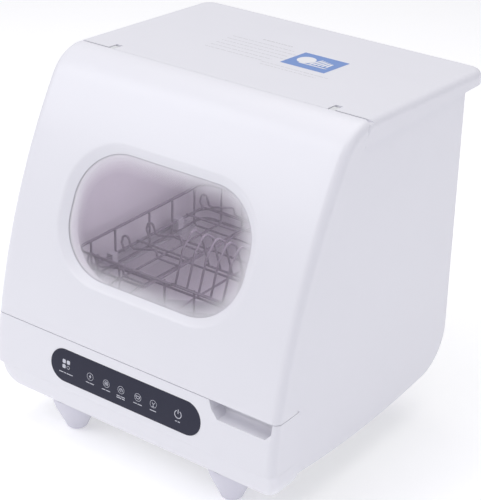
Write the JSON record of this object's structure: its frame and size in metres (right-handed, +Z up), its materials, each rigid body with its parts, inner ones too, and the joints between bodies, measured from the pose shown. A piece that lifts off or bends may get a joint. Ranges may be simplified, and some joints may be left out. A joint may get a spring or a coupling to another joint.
{
  "type": "countertop dishwasher",
  "caption": "Small countertop dishwasher: curved flip-up door with a rounded window, touch strip below, wire dish basket inside, overhanging top, tapered feet.",
  "frame": {"origin": "on the resting plane under the centre of the bounding box", "axes": "+Z up, the door faces -Y, +X to the right when facing the door"},
  "size_m": [0.42, 0.4186, 0.4535],
  "materials": {
    "shell_white": "satin white moulded ABS",
    "foot_white": "matte white",
    "rear_grey": "fine textured white",
    "window_glass": "lightly tinted, with a dotted border",
    "inner_grey": "smooth pale grey",
    "guide_grey": "smooth",
    "seal_rubber": "matte",
    "display_black": "dark glossy lens with pale icons",
    "circuit_board": "solder mask",
    "hinge_plastic": "satin white",
    "steel_pin": "turned",
    "magnet_iron": "sintered",
    "screw_steel": "zinc plated",
    "coated_wire": "nylon coated steel wire",
    "wash_plastic": "moulded",
    "filter_steel": "perforated",
    "pump_black": "moulded",
    "motor_steel": "drawn can",
    "impeller_plastic": "moulded",
    "fitting_plastic": "moulded"
  },
  "bodies": {
    "cabinet": {"control_panel": "shell_white", "grip_pocket": "shell_white", "front_base": "shell_white", "side_panel_left": "shell_white", "side_panel_right": "shell_white", "top_cover": "shell_white", "foot_front_left": "foot_white", "foot_front_right": "foot_white", "foot_rear_left": "foot_white", "foot_rear_right": "foot_white", "rear_panel": "rear_grey", "base_tray": "rear_grey", "tub": "inner_grey", "basket_guide_left": "guide_grey", "basket_guide_right": "guide_grey", "tub_seal": "seal_rubber", "display_lens": "display_black", "touch_board": "circuit_board", "control_board": "circuit_board", "hinge_pin_left": "steel_pin", "hinge_pin_right": "steel_pin", "catch_magnet": "magnet_iron", "rear_screws": "screw_steel", "foot_studs": "screw_steel", "spray_post": "wash_plastic", "filter_plate": "filter_steel", "sump": "pump_black", "wash_pump_body": "pump_black", "drain_pump": "pump_black", "wash_pipe": "pump_black", "drain_pipe": "pump_black", "dry_duct": "pump_black", "fan_housing": "pump_black", "wash_pump_motor": "motor_steel", "heater": "motor_steel", "inlet_valve": "fitting_plastic", "drain_spigot": "fitting_plastic", "power_inlet": "fitting_plastic"},
    "door": {"door_skin": "shell_white", "door_window": "window_glass", "window_seal": "seal_rubber", "door_liner": "inner_grey", "door_screws": "screw_steel", "strike_plate": "steel_pin", "hinge_ear_left": "hinge_plastic", "hinge_ear_right": "hinge_plastic"},
    "basket": {"basket_rails": "coated_wire", "basket_cross_wires": "coated_wire", "basket_long_wires": "coated_wire", "plate_rack": "coated_wire", "basket_slides": "guide_grey", "shelf_clips": "guide_grey"},
    "cup_shelf": {"cup_shelf": "coated_wire"},
    "spray_arm": {"spray_arm": "wash_plastic", "spray_arm_nut": "wash_plastic"},
    "filter": {"filter_cup": "wash_plastic"},
    "wash_impeller": {"wash_impeller": "impeller_plastic"},
    "drain_impeller": {"drain_impeller": "impeller_plastic"},
    "fan_rotor": {"fan_rotor": "impeller_plastic"}
  },
  "joints": [
    {"name": "door_hinge", "type": "hinge", "parent": "cabinet", "child": "door", "pos_m": [0, -0.0337, 0.447], "axis": [-1, 0, 0], "range_deg": [0, 80]},
    {"name": "basket_slide", "type": "slide", "parent": "cabinet", "child": "basket", "axis": [0, -1, 0], "range_m": [0, 0.18]},
    {"name": "cup_shelf_fold", "type": "hinge", "parent": "basket", "child": "cup_shelf", "pos_m": [-0.1425, 0.0043, 0.1915], "axis": [0, -1, 0], "range_deg": [0, 44]},
    {"name": "spray_arm_spin", "type": "hinge", "parent": "cabinet", "child": "spray_arm", "pos_m": [0, -0.0137, 0.136], "axis": [0, 0, 1], "continuous": true},
    {"name": "filter_twist", "type": "hinge", "parent": "cabinet", "child": "filter", "pos_m": [-0.105, -0.0997, 0.118], "axis": [0, 0, 1], "range_deg": [0, 60]},
    {"name": "wash_impeller_spin", "type": "hinge", "parent": "cabinet", "child": "wash_impeller", "pos_m": [-0.032, -0.0997, 0.086], "axis": [1, 0, 0], "continuous": true},
    {"name": "drain_impeller_spin", "type": "hinge", "parent": "cabinet", "child": "drain_impeller", "pos_m": [-0.105, -0.0157, 0.084], "axis": [0, 1, 0], "continuous": true},
    {"name": "fan_spin", "type": "hinge", "parent": "cabinet", "child": "fan_rotor", "pos_m": [0.12, 0.0443, 0.43], "axis": [0, 0, 1], "continuous": true}
  ],
  "couplings": [
    {"joint": "basket_slide", "follows": "door_hinge", "m_per_rad": 0.1289}
  ]
}
